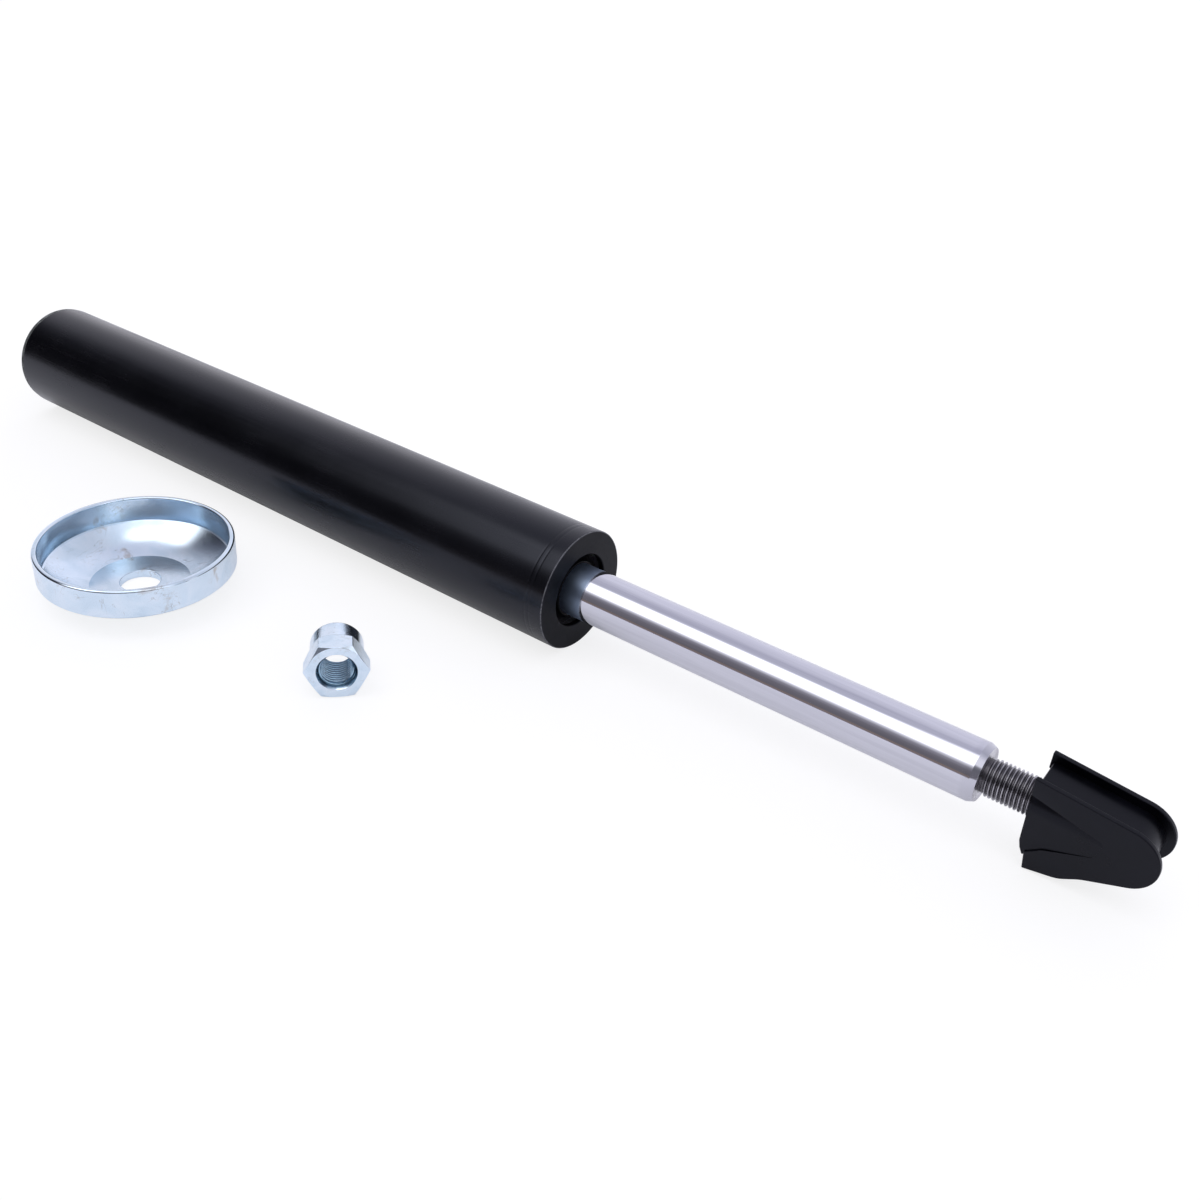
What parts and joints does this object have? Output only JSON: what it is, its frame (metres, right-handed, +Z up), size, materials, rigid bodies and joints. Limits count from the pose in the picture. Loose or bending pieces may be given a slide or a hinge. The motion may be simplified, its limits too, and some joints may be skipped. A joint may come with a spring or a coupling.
{
  "type": "gas shock absorber insert",
  "caption": "Strut insert damper on its side: black tube, chrome rod with threaded stud and strap saddle, with a loose dished washer and collar nut.",
  "frame": {"origin": "centre of the tube's base face", "axes": "+X along the rod, out of the mouth; +Z up; the loose fittings lie on the -Y side"},
  "size_m": [0.5838, 0.1581, 0.051],
  "materials": {
    "tube_paint": "satin black paint",
    "cap_paint": "thin grey paint",
    "seal_rubber": "black rubber",
    "rod_chrome": "hard chrome, mirror polished",
    "saddle_plastic": "black moulded plastic, satin",
    "zinc_plate": "bright bluish zinc plate",
    "plain_steel": "plain oiled steel",
    "sintered_iron": "grey sintered iron",
    "bush_bronze": "plain bronze",
    "cushion_plastic": "natural nylon",
    "band_plastic": "dark filled plastic"
  },
  "bodies": {
    "cartridge": {"outer_tube": "tube_paint", "base_cap": "cap_paint", "pressure_tube": "plain_steel", "foot_valve_body": "sintered_iron", "compression_shims": "plain_steel", "intake_disc": "plain_steel", "intake_spring": "plain_steel", "foot_valve_bolt": "plain_steel", "foot_valve_nut": "plain_steel", "rod_guide": "sintered_iron", "guide_bush": "bush_bronze", "guide_o_ring": "seal_rubber", "seal_backing_ring": "plain_steel", "seal_washer": "plain_steel", "oil_seal": "seal_rubber", "garter_spring": "plain_steel"},
    "piston_ring": {"piston_band": "band_plastic"},
    "rod": {"piston_rod": "rod_chrome", "rebound_stop_ring": "plain_steel", "rebound_cushion": "cushion_plastic", "stop_washer": "plain_steel", "bypass_spring": "plain_steel", "bypass_disc": "plain_steel", "piston": "sintered_iron", "rebound_shims": "plain_steel", "shim_washer": "plain_steel", "piston_nut": "plain_steel"},
    "saddle": {"strap_saddle": "saddle_plastic"},
    "washer": {"dished_washer": "zinc_plate"},
    "nut": {"collar_nut": "zinc_plate"}
  },
  "joints": [
    {"name": "rod_slide", "type": "slide", "parent": "cartridge", "child": "piston_ring", "axis": [1, 0, 0], "range_m": [-0.16, 0], "stiffness_N_per_m": 360, "springref_m": 0.42},
    {"name": "rod_spin", "type": "hinge", "parent": "piston_ring", "child": "rod", "pos_m": [0.28, 0, 0], "axis": [1, 0, 0], "continuous": true},
    {"name": "saddle_pull", "type": "slide", "parent": "rod", "child": "saddle", "axis": [1, 0, 0], "range_m": [0, 0.08]},
    {"name": "washer_lift", "type": "slide", "parent": "cartridge", "child": "washer", "axis": [0, 0, 1], "range_m": [0, 0.1]},
    {"name": "nut_lift", "type": "slide", "parent": "cartridge", "child": "nut", "axis": [0, 0, 1], "range_m": [0, 0.1]}
  ]
}
